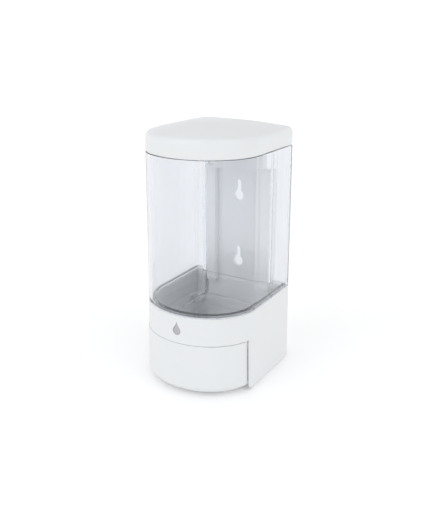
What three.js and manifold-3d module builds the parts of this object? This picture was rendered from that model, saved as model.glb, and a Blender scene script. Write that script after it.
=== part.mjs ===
// Wall mounted press-panel soap dispenser: clear tank, hinged lid, wall plate with two keyholes,
// and a push panel whose ramps lift the plunger of a pump under the tank.
//
// Millimetres, +Z up, the front faces -Y and the wall is the plane y = 0. Pieces are drawn at their
// height above the foot of the base; one group then lowers them all, so that the origin is on the back
// face of the wall plate, midway between the two keyholes.
import * as THREE from 'three';
import { mergeVertices } from 'three/addons/utils/BufferGeometryUtils.js';
import Module from 'manifold-3d';

const wasm = await Module();
wasm.setup();

// ---------------------------------------------------------------- driving dimensions
const WIDTH = 100;              // across the body at the rim of the base
const DEPTH = 108;              // wall to front at the rim of the base
const STRAIGHT = 64;            // length of the straight sides, from the wall
const CORNER = 3;               // radius of the two upright rear corners
const RIM = 71;                 // top of the base, foot of the tank
const LID_SEAM = 197.9;         // top of the tank, foot of the lid
const LID_EDGE = 213.4;         // where the side of the lid has turned into its crown
const LID_TOP = 221.2;
const MOUNT_HEIGHT = 118;       // height of the origin above the foot
const FOOT_SCALE = 1.026;       // plan size at the foot, over that at the rim
const LID_SCALE = 0.984;        // plan size at the lid seam, over that at the rim
const GAP = 0.3;                // between pieces that touch
const WALL = 2.3;               // moulded walls of base, lid and panel

const PANEL_TOP = 47.3;         // seam above the push panel
const PANEL_SIDE = 75;          // distance of the panel's side seam from the wall
const PANEL_FOOT = 3.4;         // lowest edge of the panel
const PANEL_FILLET = 8;         // round at the foot of the panel

const KEY_SPACING = 62;         // between the two keyholes
const KEY_HEAD = 5;             // radius that a screw head passes through
const KEY_SLOT = 2.5;           // half the width of the slot
const KEY_RISE = 11.5;          // from the head's centre to the slot's end centre

const PLATE = 3.2;              // thickness of the wall plate
const RAIL_DEPTH = 9;           // how far the plate's rails stand off the wall
const RAIL_IN = 22;             // rails run from here ...
const RAIL_OUT = 31.8;          // ... to here, on both sides
const RAIL_TOP = 175;

const TANK_WALL = 2.4;
const SUMP_STEP = 3.6;          // the sump stands this far inside the tank's outer face
const SUMP_FLOOR = 52;          // upper face of the sump floor
const WELL_FLOOR = 42;          // upper face of the well floor
const WELL_HALF = 31;           // half the width of the well
const WELL_BACK = 14;
const WELL_FRONT = 80;

const PUMP_Y = -62;             // axis of the pump
const BORE = 8;                 // radius of the pump bore
const HINGE_Y = -6;             // axis of the lid hinge
const HINGE_Z = 208.2;
const BARREL = 2.6;             // radius of the plate's hinge barrel
const PIN = 1.25;               // radius of the hinge pin

const ROUND = 28;               // sides of a small cylinder

// ---------------------------------------------------------------- materials
function plastic(colour, roughness, metalness = 0) {
  return new THREE.MeshStandardMaterial({ color: colour, roughness, metalness });
}

const white = plastic(0xeceef0, 0.35);
const clear = new THREE.MeshStandardMaterial({
  color: 0xe6eaf2, roughness: 0.08, metalness: 0, transparent: true, opacity: 0.3,
});
const grey = plastic(0xa9abb0, 0.35, 0.3);
const natural = plastic(0xdfe3e6, 0.45);
const rubber = plastic(0x3a3d40, 0.8);
const steel = plastic(0xb9bcc0, 0.3, 1);

// ---------------------------------------------------------------- solids
function solid(geometry) {
  const bare = geometry.clone();
  bare.deleteAttribute('normal');
  bare.deleteAttribute('uv');
  const merged = mergeVertices(bare, 1e-4);
  return new wasm.Manifold(new wasm.Mesh({
    numProp: 3,
    vertProperties: new Float32Array(merged.attributes.position.array),
    triVerts: new Uint32Array(merged.index.array),
  }));
}

function geometryOf(body) {
  const mesh = body.getMesh();
  const geometry = new THREE.BufferGeometry();
  geometry.setAttribute('position', new THREE.BufferAttribute(mesh.vertProperties, 3));
  geometry.setIndex(new THREE.BufferAttribute(mesh.triVerts, 1));
  geometry.computeVertexNormals();
  return geometry;
}

function joined(...bodies) {
  return bodies.reduce((whole, body) => whole.add(body));
}

function block(x0, x1, y0, y1, z0, z1) {
  const geometry = new THREE.BoxGeometry(x1 - x0, y1 - y0, z1 - z0);
  geometry.translate((x0 + x1) / 2, (y0 + y1) / 2, (z0 + z1) / 2);
  return solid(geometry);
}

// An upright cylinder.
function post(radius, z0, z1, x, y, sides = ROUND) {
  const geometry = new THREE.CylinderGeometry(radius, radius, z1 - z0, sides);
  geometry.rotateX(Math.PI / 2);
  geometry.translate(x, y, (z0 + z1) / 2);
  return solid(geometry);
}

// A cylinder along Y.
function dowel(radius, y0, y1, x, z, sides = ROUND) {
  const geometry = new THREE.CylinderGeometry(radius, radius, y1 - y0, sides);
  geometry.translate(x, (y0 + y1) / 2, z);
  return solid(geometry);
}

// A cylinder along X.
function axle(radius, x0, x1, y, z, sides = ROUND) {
  const geometry = new THREE.CylinderGeometry(radius, radius, x1 - x0, sides);
  geometry.rotateZ(Math.PI / 2);
  geometry.translate((x0 + x1) / 2, y, z);
  return solid(geometry);
}

// A turned piece on the pump's axis; the profile is [radius, height] pairs, once round.
function turned(profile, sides = 32) {
  const points = profile.map(([r, z]) => new THREE.Vector2(r, z));
  points.push(points[0].clone());
  const geometry = new THREE.LatheGeometry(points, sides);
  geometry.rotateX(Math.PI / 2);
  geometry.translate(0, PUMP_Y, 0);
  return solid(geometry);
}

// A prism along X whose outline is given in (y, z).
function prism(outline, x0, x1) {
  const shape = new THREE.Shape(outline.map(([y, z]) => new THREE.Vector2(y, z)));
  const geometry = new THREE.ExtrudeGeometry(shape, { depth: x1 - x0, bevelEnabled: false });
  geometry.applyMatrix4(new THREE.Matrix4().set(0, 0, 1, x0, 1, 0, 0, 0, 0, 1, 0, 0, 0, 0, 0, 1));
  return solid(geometry);
}

function bothSides(make) {
  return joined(make(1), make(-1));
}

function sideBlock(side, x0, x1, y0, y1, z0, z1) {
  return block(Math.min(side * x0, side * x1), Math.max(side * x0, side * x1), y0, y1, z0, z1);
}

// ---------------------------------------------------------------- plan of the body
// Straight sides from the wall, a half-elliptical front and two small rear corners.
function planShape() {
  const half = WIDTH / 2;
  const arc = (x, y, rx, ry, from, to, steps) => (
    new THREE.EllipseCurve(x, y, rx, ry, from, to, false).getPoints(steps)
  );
  return new THREE.Shape([
    ...arc(half - CORNER, -CORNER, CORNER, CORNER, 0, Math.PI / 2, 3),
    ...arc(CORNER - half, -CORNER, CORNER, CORNER, Math.PI / 2, Math.PI, 3),
    ...arc(0, -STRAIGHT, half, DEPTH - STRAIGHT, Math.PI, 2 * Math.PI, 32),
  ]);
}

function planScale(height) {
  if (height < RIM) {
    return THREE.MathUtils.lerp(FOOT_SCALE, 1, height / RIM);
  }
  return THREE.MathUtils.lerp(1, LID_SCALE, (height - RIM) / (LID_SEAM - RIM));
}

// Stacks the plan at each station [height, inset, rear inset]; without a rear inset the rear face
// moves in by the same inset. The plan's taper from foot to lid is included.
function loft(stations) {
  const steps = stations.length - 1;
  const geometry = new THREE.ExtrudeGeometry(planShape(), {
    depth: steps, steps, bevelEnabled: false,
  });
  const position = geometry.attributes.position;
  const half = WIDTH / 2;
  const nose = DEPTH - STRAIGHT;
  for (let i = 0; i < position.count; i += 1) {
    const [height, inset, rear = inset] = stations[Math.round(position.getZ(i))];
    const scale = planScale(height);
    const y = position.getY(i);
    const moved = y < -STRAIGHT
      ? -STRAIGHT + (y + STRAIGHT) * (nose - inset) / nose
      : -rear + y * (STRAIGHT - rear) / STRAIGHT;
    position.setXYZ(i, position.getX(i) * scale * (half - inset) / half, moved * scale, height);
  }
  return solid(geometry);
}

// A prism over an outline given at the rim, from below the foot up to z1, with the body's taper.
function taperedPrism(outline, z1) {
  const z0 = -1;
  const shape = new THREE.Shape(outline.map(([x, y]) => new THREE.Vector2(x, y)));
  const geometry = new THREE.ExtrudeGeometry(shape, { depth: z1 - z0, bevelEnabled: false });
  geometry.translate(0, 0, z0);
  const position = geometry.attributes.position;
  for (let i = 0; i < position.count; i += 1) {
    position.setX(i, position.getX(i) * planScale(position.getZ(i)));
  }
  return solid(geometry);
}

// Stations of a quarter round that turns inwards at a foot.
function footRound(foot, radius, inset = 0, turns = 4) {
  return Array.from({ length: turns + 1 }, (_, k) => {
    const angle = k / turns * Math.PI / 2;
    return [foot + radius * (1 - Math.cos(angle)), inset + radius * (1 - Math.sin(angle))];
  });
}

// ---------------------------------------------------------------- lid
// Upright side, a soft shoulder and a low crown; inset and drop make the inner surface. The rear
// face stays a little off the wall, so that it doesn't rub on it as the lid turns.
function lidStations(inset, drop, foot) {
  const rear = inset + 0.4;
  const stations = [[foot, inset, rear], [LID_EDGE - 4.4 - drop, inset, rear]];
  for (const [down, into] of [[1.9, 0.7], [0.6, 2.1]]) {
    stations.push([LID_EDGE - down - drop, inset + into, rear + into]);
  }
  const reach = DEPTH - STRAIGHT - 3.6 - inset;
  for (const part of [0.12, 0.3, 0.5, 0.72, 0.94]) {
    const rise = (LID_TOP - LID_EDGE) * (1 - (1 - part) ** 1.7);
    stations.push([LID_EDGE + rise - drop, inset + 2.1 + reach * part]);
  }
  return stations;
}

function lid() {
  const foot = LID_SEAM + GAP;
  const earInner = 14.2;
  const earOuter = 18;
  const hollow = loft(lidStations(WALL, WALL, foot - 2));
  const shell = loft(lidStations(0, 0, foot)).subtract(hollow);
  // The plate's hinge barrel rises through this notch in the rear skirt.
  const notch = block(-24, 24, -5, 1, foot - 1, HINGE_Z + 1.2);
  // The rear end of the skirt rises a little, so that it clears the tank as the lid turns.
  const relief = prism([[-6.6, foot - 1], [1, foot - 1], [1, foot + 2.2], [-6.6, foot]], -60, 60);
  const ears = bothSides((side) => joined(
    sideBlock(side, earInner, earOuter, HINGE_Y - 2.7, HINGE_Y + 2.7, HINGE_Z, HINGE_Z + 4.2),
    axle(2.7, Math.min(side * earInner, side * earOuter), Math.max(side * earInner, side * earOuter),
      HINGE_Y, HINGE_Z),
  ));
  const envelope = loft(lidStations(WALL / 2, WALL / 2, foot - 8));
  return shell.subtract(notch).subtract(relief)
    .subtract(axle(BARREL + 0.5, -14.1, 14.1, HINGE_Y, HINGE_Z))
    .add(ears.intersect(envelope))
    .subtract(axle(PIN + GAP, -25, 25, HINGE_Y, HINGE_Z));
}

// ---------------------------------------------------------------- tank
function tank() {
  const channel = RAIL_OUT + 0.7;
  const channelDepth = RAIL_DEPTH + 0.4;
  const outer = joined(
    loft([[RIM, 0], [LID_SEAM - GAP, 0]]).subtract(
      block(-channel, channel, -channelDepth, 1, RIM - 1, LID_SEAM + 1),
    ),
    loft([[SUMP_FLOOR - TANK_WALL, SUMP_STEP], [RIM + 1, SUMP_STEP]]).subtract(
      block(-channel - 1.2, channel + 1.2, -channelDepth - 1.2, 1, RIM - 40, RIM + 2),
    ),
    block(-WELL_HALF - TANK_WALL, WELL_HALF + TANK_WALL, -WELL_FRONT - TANK_WALL,
      -WELL_BACK + TANK_WALL, WELL_FLOOR - TANK_WALL, SUMP_FLOOR - 1),
    post(12.5, 34, WELL_FLOOR - 1, 0, PUMP_Y, 36),
  );
  const inner = joined(
    loft([[RIM + 2.5, TANK_WALL], [LID_SEAM + 1, TANK_WALL]]).subtract(
      block(-channel - TANK_WALL, channel + TANK_WALL, -channelDepth - TANK_WALL, 1, RIM, LID_SEAM + 2),
    ),
    loft([[SUMP_FLOOR, SUMP_STEP + TANK_WALL], [RIM + 3, SUMP_STEP + TANK_WALL]]).subtract(
      block(-channel - 3.6, channel + 3.6, -channelDepth - 3.6, 1, RIM - 40, RIM + 4),
    ),
    block(-WELL_HALF, WELL_HALF, -WELL_FRONT, -WELL_BACK, WELL_FLOOR, SUMP_FLOOR + 1),
    post(9.6 + GAP, 30, WELL_FLOOR + 1, 0, PUMP_Y, 36),
  );
  return outer.subtract(inner);
}

// ---------------------------------------------------------------- wall plate
function keyhole(z) {
  return joined(
    dowel(KEY_HEAD, -PLATE - 1, 1, 0, z, 32),
    block(-KEY_SLOT, KEY_SLOT, -PLATE - 1, 1, z, z + KEY_RISE),
    dowel(KEY_SLOT, -PLATE - 1, 1, 0, z + KEY_RISE, 24),
  );
}

const PLATE_SCREWS = [[41, 12], [41, 44], [-41, 12], [-41, 44]];

function wallPlate() {
  const lower = block(-47.4, 47.4, -3, 0, 3, RIM - GAP);
  const panel = block(-RAIL_IN - 1, RAIL_IN + 1, -PLATE, 0, RIM - 6, RAIL_TOP);
  const rails = bothSides((side) => (
    sideBlock(side, RAIL_IN, RAIL_OUT, -RAIL_DEPTH, 0, RIM - 6, RAIL_TOP).subtract(
      sideBlock(side, RAIL_IN + 2.2, RAIL_OUT - 2.2, 2.2 - RAIL_DEPTH, 1, RIM - 3.8, RAIL_TOP - 2.2),
    )
  ));
  const head = block(-24, 24, -RAIL_DEPTH, 0, RAIL_TOP - 2, LID_SEAM - 1).subtract(
    block(-21.8, 21.8, 2.2 - RAIL_DEPTH, 1, RAIL_TOP + 2.2, LID_SEAM - 3.2),
  );
  const barrel = joined(
    axle(BARREL, -13.8, 13.8, HINGE_Y, HINGE_Z),
    block(-13.8, 13.8, HINGE_Y - BARREL, HINGE_Y + 0.8, LID_SEAM - 3, HINGE_Z),
  );
  const middle = MOUNT_HEIGHT;
  let plate = joined(lower, panel, rails, head, barrel)
    .subtract(keyhole(middle + KEY_SPACING / 2))
    .subtract(keyhole(middle - KEY_SPACING / 2))
    .subtract(axle(PIN + GAP, -25, 25, HINGE_Y, HINGE_Z));
  for (const [x, z] of PLATE_SCREWS) {
    plate = plate.subtract(dowel(3.4, -1.7, 1, x, z, 20)).subtract(dowel(1.7, -4, 1, x, z, 20));
  }
  return plate;
}

// ---------------------------------------------------------------- base
const COVER_SCREWS = [[36, -13], [36, -48], [-36, -13], [-36, -48]];
const INNER_HALF = 47.7;        // the side walls' inner face, at the rim
const RIB_END = 49.4;           // ribs end inside the side walls

// The pocket in the front that holds the drop mark, and the mark itself.
function drop(grow, y0, y1) {
  const radius = 3.45 + grow;
  const low = 57.9;
  const tip = 65 + 2 * grow;
  const shape = new THREE.Shape();
  shape.moveTo(0, tip);
  shape.bezierCurveTo(-0.9, tip - 2.8, -radius, low + 2.8, -radius, low);
  shape.absarc(0, low, radius, Math.PI, 2 * Math.PI, false);
  shape.bezierCurveTo(radius, low + 2.8, 0.9, tip - 2.8, 0, tip);
  const geometry = new THREE.ExtrudeGeometry(shape, {
    depth: y1 - y0, bevelEnabled: false, curveSegments: 6,
  });
  geometry.rotateX(Math.PI / 2);
  geometry.translate(0, y1, 0);
  return solid(geometry);
}

function guide(side) {
  const rib = (z0) => sideBlock(side, 40, RIB_END, -66.5, -36, z0, z0 + 2);
  return joined(rib(25.6), rib(32.4), sideBlock(side, 40, 41.6, -50, -47.6, 25.6, 34.4));
}

function baseShell() {
  const outer = loft([...footRound(0, 1.8, 0, 3), [RIM - GAP, 0]]);
  const band = loft([[PANEL_TOP - 1, WALL, -3], [RIM + 1, WALL, -3]]);
  const room = taperedPrism([
    [-INNER_HALF, 4], [-INNER_HALF, -DEPTH - 9], [INNER_HALF, -DEPTH - 9], [INNER_HALF, 4],
  ], PANEL_TOP).intersect(loft([[-1, 0.6, -6], [PANEL_TOP + 2, 0.6, -3]]));
  const mouth = block(-60, 60, -DEPTH - 9, -PANEL_SIDE, -1, PANEL_TOP);
  let shell = outer.subtract(band).subtract(room).subtract(mouth);
  for (const [x, y] of COVER_SCREWS) {
    const side = Math.sign(x);
    shell = shell
      .add(post(3.6, 4.5, 20, x, y, 20))
      .add(sideBlock(side, 37, RIB_END, y - 0.8, y + 0.8, 4.5, 20))
      .subtract(post(1.3 + GAP, 4, 16, x, y, 16));
  }
  for (const [x, z] of PLATE_SCREWS) {
    const side = Math.sign(x);
    shell = shell
      .add(dowel(3.4, -15, -3.3, x, z, 20))
      .add(sideBlock(side, 42, RIB_END, -15, -3.3, z - 0.8, z + 0.8))
      .subtract(dowel(1.3 + GAP, -13, -3, x, z, 16));
  }
  const feet = bothSides((side) => sideBlock(side, 46.2, 49.2, -68, -4, 0, 1.7));
  shell = joined(shell, guide(1), guide(-1), feet);
  return shell.subtract(drop(0.25, -112, -DEPTH + 0.9));
}

function bottomCover() {
  const plan = loft([[2, WALL + 1.2, 3.3], [4.2, WALL + 1.2, 3.3]]);
  const front = joined(
    block(-60, 60, -64, 1, 1, 5),
    block(-28, 28, -76, -60, 1, 5),
  );
  const inside = block(GAP - INNER_HALF, INNER_HALF - GAP, -120, 1, 1, 5);
  let cover = plan.intersect(front).intersect(inside).subtract(post(7, 1, 5, 0, PUMP_Y));
  for (const [x, y] of COVER_SCREWS) {
    cover = cover.subtract(post(1.7, 1, 5, x, y, 16));
  }
  return cover;
}

// ---------------------------------------------------------------- push panel and fork
const FORK_SCREWS = [15, -15];
const FORK_HEIGHT = 15;
const FORK_FACE = -98;          // where the panel's bosses end and the fork's plate begins

function pushPanel() {
  const top = PANEL_TOP - 0.35;
  const outer = loft([...footRound(PANEL_FOOT, PANEL_FILLET), [top, 0]]);
  const inner = loft([...footRound(PANEL_FOOT + WALL, PANEL_FILLET - WALL, WALL), [top - WALL, WALL]]);
  const flange = loft([[top - WALL - 1, 4.5], [top + 1, 4.5]]);
  const floorCut = block(-60, 60, -86, 1, -1, 12).intersect(
    loft([[-1, PANEL_FILLET + WALL, -1], [12, WALL, -1]]),
  );
  const front = block(-60, 60, -DEPTH - 9, -PANEL_SIDE - 0.4, -1, PANEL_TOP + 2);
  // The side edges turn in a little, so that they pass inside the base as the panel is pressed.
  const sides = sideTrim();
  const bosses = joined(...FORK_SCREWS.map((x) => dowel(4, -DEPTH - 4, FORK_FACE, x, FORK_HEIGHT, 20)));
  const rails = bothSides((side) => joined(
    sideBlock(side, 42, 45.5, -84, -45.2, 28, 32),
    sideBlock(side, 40.2, 43, -47.2, -45.2, 28, 32),
  ));
  const shell = outer.subtract(inner).subtract(flange).subtract(floorCut).intersect(front);
  let panel = shell.intersect(sides)
    .add(bosses.intersect(outer))
    .add(rails.intersect(joined(outer.intersect(sides), block(-60, 60, -76, -40, 20, 40))));
  for (const x of FORK_SCREWS) {
    panel = panel.subtract(dowel(1.3 + GAP, -105, FORK_FACE + 1, x, FORK_HEIGHT, 16));
  }
  return panel;
}

// The room between the base's side walls that the panel has to pass through.
function sideTrim() {
  const edge = INNER_HALF - 0.45;
  const half = [[edge, 4 - PANEL_SIDE], [edge, -PANEL_SIDE - 2], [edge + 1, -PANEL_SIDE - 9],
    [60, -PANEL_SIDE - 11], [60, -130]];
  return taperedPrism([...half, ...half.map(([x, y]) => [-x, y]).reverse()], PANEL_TOP + 2);
}

// The ramp and the yoke's lugs share a plane that falls by 1 mm for each 1 mm towards the wall.
const RAMP_HEIGHT = 8.4;        // height of the lugs' sloping faces on the pump's axis
const LUG_HALF = 2.2;
const YOKE_TOP = 12.4;

function liftFork() {
  const surface = RAMP_HEIGHT - GAP * Math.SQRT2;
  const plate = block(-21, 21, FORK_FACE + GAP, FORK_FACE + 2.8, 7, 23);
  const arm = [
    [FORK_FACE + 1, PANEL_FOOT + WALL + 0.7],
    [-85, PANEL_FOOT + WALL + 0.7],
    [-83.4, 4.8],
    [PUMP_Y + 2.4, 4.8],
    [PUMP_Y + 2.4, surface - 2.4],
    [PUMP_Y - 11, surface + 11],
    [FORK_FACE + 1, surface + 11],
  ];
  let fork = joined(plate, prism(arm, 5.5, 9.5), prism(arm, -9.5, -5.5))
    .subtract(block(-60, 60, FORK_FACE - 5, FORK_FACE + GAP, 0, 60));
  for (const x of FORK_SCREWS) {
    fork = fork.subtract(dowel(1.7, FORK_FACE - 1, FORK_FACE + 4, x, FORK_HEIGHT, 16));
  }
  return fork;
}

// ---------------------------------------------------------------- pump
function pumpCylinder() {
  const body = turned([
    [BORE, 24.5], [9.6, 24.5], [9.6, 30.8], [12.3, 30.8], [12.3, 32.3], [9.6, 32.3],
    [9.6, 46], [0, 46], [0, 43.8], [BORE, 43.8],
  ]);
  const holes = Array.from({ length: 6 }, (_, k) => {
    const angle = k * Math.PI / 3;
    return post(1.1, 43, 47, 3.4 * Math.cos(angle), PUMP_Y + 3.4 * Math.sin(angle), 12);
  });
  return holes.reduce((left, hole) => left.subtract(hole), body).subtract(post(1, 43, 47, 0, PUMP_Y, 16));
}

function cylinderCap() {
  return turned([[4.1, 22.3], [9.6, 22.3], [9.6, 24.2], [BORE - GAP, 24.2], [4.1, 24.2]]);
}

function pumpNut() {
  const nut = turned([
    [9.9, 28.6], [15.5, 28.6], [15.5, 39.2], [12.8, 39.2], [12.8, 30.5], [9.9, 30.5],
  ], 36);
  const grooves = Array.from({ length: 12 }, (_, k) => {
    const angle = k * Math.PI / 6;
    return post(1, 28, 40, 16 * Math.cos(angle), PUMP_Y + 16 * Math.sin(angle), 10);
  });
  return grooves.reduce((left, groove) => left.subtract(groove), nut);
}

function pumpGasket() {
  return turned([[9.9, 32.6], [12.4, 32.6], [12.4, 33.7], [9.9, 33.7]]);
}

function inletFlap() {
  return turned([[0, 42.6], [4.9, 42.9], [4.9, 43.5], [0.7, 43.5], [0.7, 46.3], [1.4, 46.6], [0, 47.6]], 20);
}

function plunger() {
  return turned([
    [1.5, 3.4], [3.5, 3.4], [3.5, 12.7], [5, 12.7], [5, 13.9], [3.5, 13.9],
    [3.5, 24.6], [6.2, 24.6], [6.2, 27.2], [1.5, 27.2],
  ]);
}

function pistonSeal() {
  return turned([[6.5, 24.7], [7.5, 24.7], [7.7, 26.2], [7.7, 27.1], [6.5, 27.1]]);
}

function liftYoke() {
  const slope = (y) => RAMP_HEIGHT - y;
  const lugs = prism([
    [PUMP_Y - LUG_HALF, slope(-LUG_HALF)],
    [PUMP_Y + LUG_HALF, slope(LUG_HALF)],
    [PUMP_Y + LUG_HALF, YOKE_TOP],
    [PUMP_Y - LUG_HALF, YOKE_TOP],
  ], -10.5, 10.5);
  return lugs.add(post(5.1, 7.4, YOKE_TOP, 0, PUMP_Y)).subtract(post(3.8, 4, YOKE_TOP + 1, 0, PUMP_Y));
}

function nozzleTip() {
  return turned([[0.8, 1.6], [2.6, 1.6], [4.6, 3.6], [4.6, 5.9], [3.8, 5.9], [3.8, 3.1], [0.8, 3.1]], 24);
}

// A helix with closed ends between the piston and the top of the pump bore.
function returnSpring() {
  const wire = 0.5;
  const low = 27.5 + wire;
  const high = 43.5 - wire;
  const turns = 6.5;
  const radius = 5.6;
  const steps = 92;
  const helix = new THREE.CatmullRomCurve3(Array.from({ length: steps + 1 }, (_, k) => {
    const part = k / steps;
    const angle = part * turns * 2 * Math.PI;
    return new THREE.Vector3(
      radius * Math.cos(angle), PUMP_Y + radius * Math.sin(angle), low + (high - low) * part,
    );
  }));
  const section = new THREE.Shape();
  section.absarc(0, 0, wire, 0, 2 * Math.PI, false);
  return solid(new THREE.ExtrudeGeometry(section, {
    steps, extrudePath: helix, bevelEnabled: false, curveSegments: 3,
  }));
}

// ---------------------------------------------------------------- screws
// A pan head screw along +Z, its head's top face at the origin and its shank above it.
function screw(headRadius, headHeight, shank, length) {
  return joined(
    post(headRadius, 0, headHeight, 0, 0, 20),
    post(shank, headHeight - 0.1, length, 0, 0, 14),
  ).subtract(block(-0.5, 0.5, -1.7, 1.7, -1, 0.6)).subtract(block(-1.7, 1.7, -0.5, 0.5, -1, 0.6));
}

// ---------------------------------------------------------------- assembly
const dispenser = new THREE.Group();
dispenser.position.z = -MOUNT_HEIGHT;

function addPiece(name, body, material, parent = dispenser) {
  const mesh = new THREE.Mesh(geometryOf(body), material);
  mesh.name = name;
  parent.add(mesh);
  return mesh;
}

addPiece('wall_plate', wallPlate(), white);
addPiece('base_shell', baseShell(), white);
addPiece('bottom_cover', bottomCover(), white);
addPiece('tank', tank(), clear);
addPiece('lid', lid(), white);
addPiece('push_panel', pushPanel(), white);
addPiece('drop_inlay', drop(0, -DEPTH - 0.1, -DEPTH + 0.6), grey);
addPiece('hinge_pin', axle(PIN, -18.5, 18.5, HINGE_Y, HINGE_Z, 20), steel);
addPiece('lift_fork', liftFork(), natural);
addPiece('pump_cylinder', pumpCylinder(), natural);
addPiece('cylinder_cap', cylinderCap(), natural);
addPiece('pump_nut', pumpNut(), natural);
addPiece('pump_gasket', pumpGasket(), rubber);
addPiece('inlet_flap', inletFlap(), rubber);
addPiece('plunger', plunger(), natural);
addPiece('piston_seal', pistonSeal(), rubber);
addPiece('lift_yoke', liftYoke(), natural);
addPiece('nozzle_tip', nozzleTip(), rubber);
addPiece('return_spring', returnSpring(), steel);

const smallScrew = screw(2.8, 1.4, 1.3, 11);
COVER_SCREWS.forEach(([x, y], index) => {
  addPiece(`cover_screw_${index + 1}`, smallScrew, steel).position.set(x, y, 0.4);
});
PLATE_SCREWS.forEach(([x, z], index) => {
  const mesh = addPiece(`plate_screw_${index + 1}`, smallScrew, steel);
  mesh.position.set(x, -0.1, z);
  mesh.rotation.x = Math.PI / 2;
});
const forkScrew = screw(2.8, 1.6, 1.3, 9);
FORK_SCREWS.forEach((x) => {
  const mesh = addPiece(x > 0 ? 'fork_screw_right' : 'fork_screw_left', forkScrew, steel);
  mesh.position.set(x, FORK_FACE + 4.7, FORK_HEIGHT);
  mesh.rotation.x = Math.PI / 2;
});

export default dispenser;
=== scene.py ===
"""Wall mounted soap dispenser: its visible pieces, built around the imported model."""
import math

import bmesh
import bpy
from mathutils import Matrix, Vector


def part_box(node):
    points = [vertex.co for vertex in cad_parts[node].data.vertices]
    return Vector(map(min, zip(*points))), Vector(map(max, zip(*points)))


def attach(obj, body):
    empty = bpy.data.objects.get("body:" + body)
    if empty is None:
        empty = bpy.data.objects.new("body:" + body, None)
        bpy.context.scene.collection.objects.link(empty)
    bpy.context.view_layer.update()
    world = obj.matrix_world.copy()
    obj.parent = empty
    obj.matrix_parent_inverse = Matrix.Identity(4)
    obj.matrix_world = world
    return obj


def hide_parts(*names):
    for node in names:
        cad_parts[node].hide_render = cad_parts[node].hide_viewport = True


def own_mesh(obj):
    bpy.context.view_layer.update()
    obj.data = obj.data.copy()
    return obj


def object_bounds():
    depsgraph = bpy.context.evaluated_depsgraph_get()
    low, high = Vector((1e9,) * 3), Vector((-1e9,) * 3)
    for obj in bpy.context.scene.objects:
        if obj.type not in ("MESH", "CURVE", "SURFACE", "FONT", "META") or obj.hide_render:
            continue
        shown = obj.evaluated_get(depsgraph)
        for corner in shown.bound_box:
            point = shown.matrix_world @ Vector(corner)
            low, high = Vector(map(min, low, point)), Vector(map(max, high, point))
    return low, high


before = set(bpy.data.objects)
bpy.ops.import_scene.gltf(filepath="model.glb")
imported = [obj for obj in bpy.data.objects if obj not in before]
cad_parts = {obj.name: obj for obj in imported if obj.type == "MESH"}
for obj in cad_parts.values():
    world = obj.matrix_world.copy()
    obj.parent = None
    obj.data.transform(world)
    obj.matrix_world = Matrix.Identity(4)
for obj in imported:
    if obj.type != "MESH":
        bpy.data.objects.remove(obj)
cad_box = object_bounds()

MM = 0.001

# ---------------------------------------------------------------- sizes, in millimetres
# Heights are counted from the foot of the base, depths from the wall, with the front at minus y.
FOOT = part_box("base_shell")[0].z


def box(node):
    """The lowest and highest corner of a node in millimetres, with z as a height above the foot."""
    return [Vector((corner.x, corner.y, corner.z - FOOT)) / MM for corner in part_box(node)]


lid_low, lid_high = box("lid")
panel_low, panel_high = box("push_panel")
cover_low, cover_high = box("bottom_cover")
pin_low, pin_high = box("hinge_pin")
drop_low, drop_high = box("drop_inlay")
cap_low, cap_high = box("cylinder_cap")
spring_low, spring_high = box("return_spring")

GAP = 0.3                       # between pieces that touch
HALF = 50                       # half the width of the body at the rim
FRONT = -108                    # the front of the body at the rim
RIM = box("base_shell")[1].z + GAP      # top of the base, foot of the tank
LID_EDGE = 213.4                # where the side of the lid has turned into its crown
SEAM = box("tank")[1].z + GAP   # top of the tank, foot of the lid
STRAIGHT = -64                  # where the straight sides end
CORNER = 3                      # radius of the two upright rear corners
FOOT_SCALE = 1.026              # plan size at the foot, over that at the rim
LID_SCALE = 0.984               # plan size at the lid seam, over that at the rim
WALL = 2.3                      # moulded walls of base, lid and panel
TANK_WALL = 2.4
INNER_HALF = 47.7               # the base's side walls' inner face, at the rim
RIB_END = 49.4                  # the base's ribs end inside its side walls
SUMP_FLOOR = 52                 # upper face of the sump's floor
SUMP_STEP = 3.6                 # the sump stands this far inside the tank's outer face
WELL_FLOOR = 42                 # upper face of the well's floor
WELL_HALF = 31                  # half the width of the well
WELL_BACK = -14
WELL_FRONT = -80
PANEL_TOP = panel_high.z + 0.35         # the seam above the push panel
PANEL_FOOT = panel_low.z
PANEL_SIDE = -75                # the panel's side seam
PANEL_FILLET = 8                # round at the foot of the panel
PANEL_BOSSES = (-15, 15)        # the fork is screwed on here
PANEL_BOSS_RISE = 15
HINGE_Y = (pin_low.y + pin_high.y) / 2
HINGE_Z = (pin_low.z + pin_high.z) / 2
PUMP_Y = (cap_low.y + cap_high.y) / 2
RAIL_IN = 22                    # the wall plate's rails run from here ...
RAIL_OUT = 31.8                 # ... to here, on both sides
RAIL_DEEP = -box("wall_plate")[0].y     # how far they stand off the wall
RAIL_WALL = 2.2
RAIL_TOP = 175
CHANNEL = RAIL_OUT + 0.7        # half the width of the channel up the tank's rear face
CHANNEL_DEEP = 9.4
NOOK = 0.4                      # the channel is this much wider beside the sump ...
NOOK_DEEP = 1.2                 # ... and this much deeper
KEYHOLES = (87, 149)            # heights of the two keyholes
KEY_HEAD = 5                    # radius that a screw head passes through
KEY_SLOT = 2.5                  # half the width of the slot
KEY_RISE = 11.5                 # from the head's centre to the slot's end
BARREL = 2.6                    # radius of the lid's hinge barrel
PIN_HOLE = 1.55
PILOT = 1.6                     # radius of the holes that the screws bite into
SCREW_HOLE = 1.7
COVER_SCREWS = [(36, -13), (36, -48), (-36, -13), (-36, -48)]   # (x, y)
PLATE_SCREWS = [(41, 12), (41, 44), (-41, 12), (-41, 44)]       # (x, height)
PAST = 60                       # a cutter this wide on both sides reaches past the body
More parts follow.
